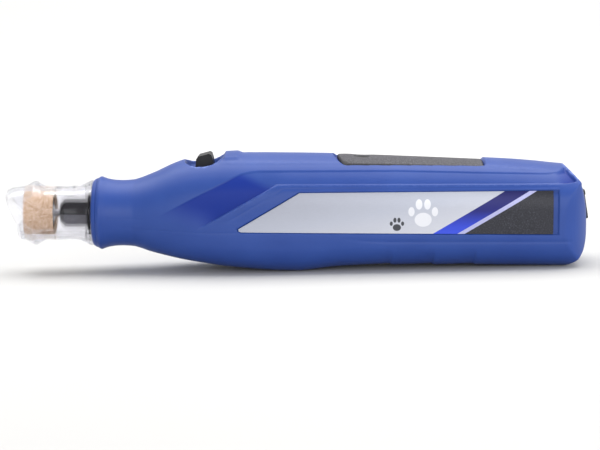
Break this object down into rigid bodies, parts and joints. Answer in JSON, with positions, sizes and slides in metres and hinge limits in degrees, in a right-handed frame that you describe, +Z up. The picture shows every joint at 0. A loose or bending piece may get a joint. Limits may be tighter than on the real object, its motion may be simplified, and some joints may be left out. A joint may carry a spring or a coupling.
{
  "type": "pet nail trimmer",
  "caption": "Cordless pet nail grinder: slim rounded blue housing with side label panels, thumb slide switch, clear slip-on nose guard and a spinning sanding drum.",
  "frame": {"origin": "centre of the overall box in plan, on the plane that the belly and heel pads rest on", "axes": "+Z up from the rest plane; X along the length, nose towards -X and tail towards +X; Y across, symmetry plane at Y=0"},
  "size_m": [0.1817, 0.0344, 0.0371],
  "materials": {
    "blue_plastic": "satin moulded blue plastic with a fine texture",
    "clear_plastic": "clear moulded plastic",
    "label_film": "printed silver film with plain coloured bands",
    "soft_grey_inlay": "soft grey inlay with a fine grain",
    "smoked_lens": "smoked translucent lens",
    "black_rubber": "matt rubber",
    "charcoal_plastic": "satin charcoal plastic",
    "black_plastic": "matt black plastic",
    "steel": "turned steel",
    "bronze": "sintered bronze",
    "black_oxide": "black oxide steel",
    "abrasive_band": "tan abrasive paper",
    "zinc_steel": "zinc plated steel",
    "ferrite": "sintered ferrite",
    "copper_wire": "enamelled copper",
    "cell_wrap": "heat-shrink sleeve",
    "black_foam": "foam",
    "board_green": "solder mask",
    "led_white": "LED package",
    "wire_red": "insulated wire",
    "wire_black": "insulated wire"
  },
  "bodies": {
    "housing": {"housing_left": "blue_plastic", "housing_right": "blue_plastic", "nose_collar": "blue_plastic", "housing_screws": "steel", "side_label_left": "label_film", "side_label_right": "label_film", "top_grip_inlay": "soft_grey_inlay", "indicator_lens": "smoked_lens", "switch_body": "black_plastic", "front_bearing_outer": "steel", "rear_bush": "bronze", "motor_can": "zinc_steel", "motor_end_cap": "black_plastic", "motor_bushes": "bronze", "motor_magnets": "ferrite", "motor_brushes": "bronze", "motor_terminals": "bronze", "battery_cell": "cell_wrap", "battery_tabs": "zinc_steel", "foam_pad": "black_foam", "control_board": "board_green", "board_components": "black_plastic", "status_led": "led_white", "charge_board": "board_green", "charging_socket": "zinc_steel", "hookup_wires_red": "wire_red", "hookup_wires_black": "wire_black"},
    "guard": {"nail_guard": "clear_plastic"},
    "spindle": {"spindle": "steel", "front_bearing_inner": "steel", "bearing_balls": "steel", "collet": "steel", "dust_seal": "black_rubber", "mandrel": "steel", "drum_rubber": "black_rubber", "drum_screw": "steel", "sanding_band": "abrasive_band", "shaft_coupling": "black_plastic", "motor_shaft": "steel", "armature_core": "zinc_steel", "armature_windings": "copper_wire", "commutator": "copper_wire"},
    "nut": {"collet_nut": "black_oxide"},
    "switch": {"switch_button": "charcoal_plastic", "switch_slider": "charcoal_plastic"},
    "port_flap": {"port_cover": "black_rubber"}
  },
  "joints": [
    {"name": "spindle_spin", "type": "hinge", "parent": "housing", "child": "spindle", "pos_m": [-0.06436, 0, 0.01855], "axis": [0.9998, 0, -0.0209], "continuous": true},
    {"name": "nut_turn", "type": "hinge", "parent": "spindle", "child": "nut", "pos_m": [-0.07036, 0, 0.01868], "axis": [0.9998, 0, -0.0209], "range_deg": [-360, 0]},
    {"name": "guard_pull", "type": "slide", "parent": "housing", "child": "guard", "axis": [-0.9998, 0, 0.0209], "range_m": [0, 0.026]},
    {"name": "switch_slide", "type": "slide", "parent": "housing", "child": "switch", "axis": [-0.9998, 0, 0.0209], "range_m": [0, 0.0024]},
    {"name": "port_flap_hinge", "type": "hinge", "parent": "housing", "child": "port_flap", "pos_m": [0.09079, 0, 0.01424], "axis": [0, 1, 0], "range_deg": [0, 100]}
  ]
}
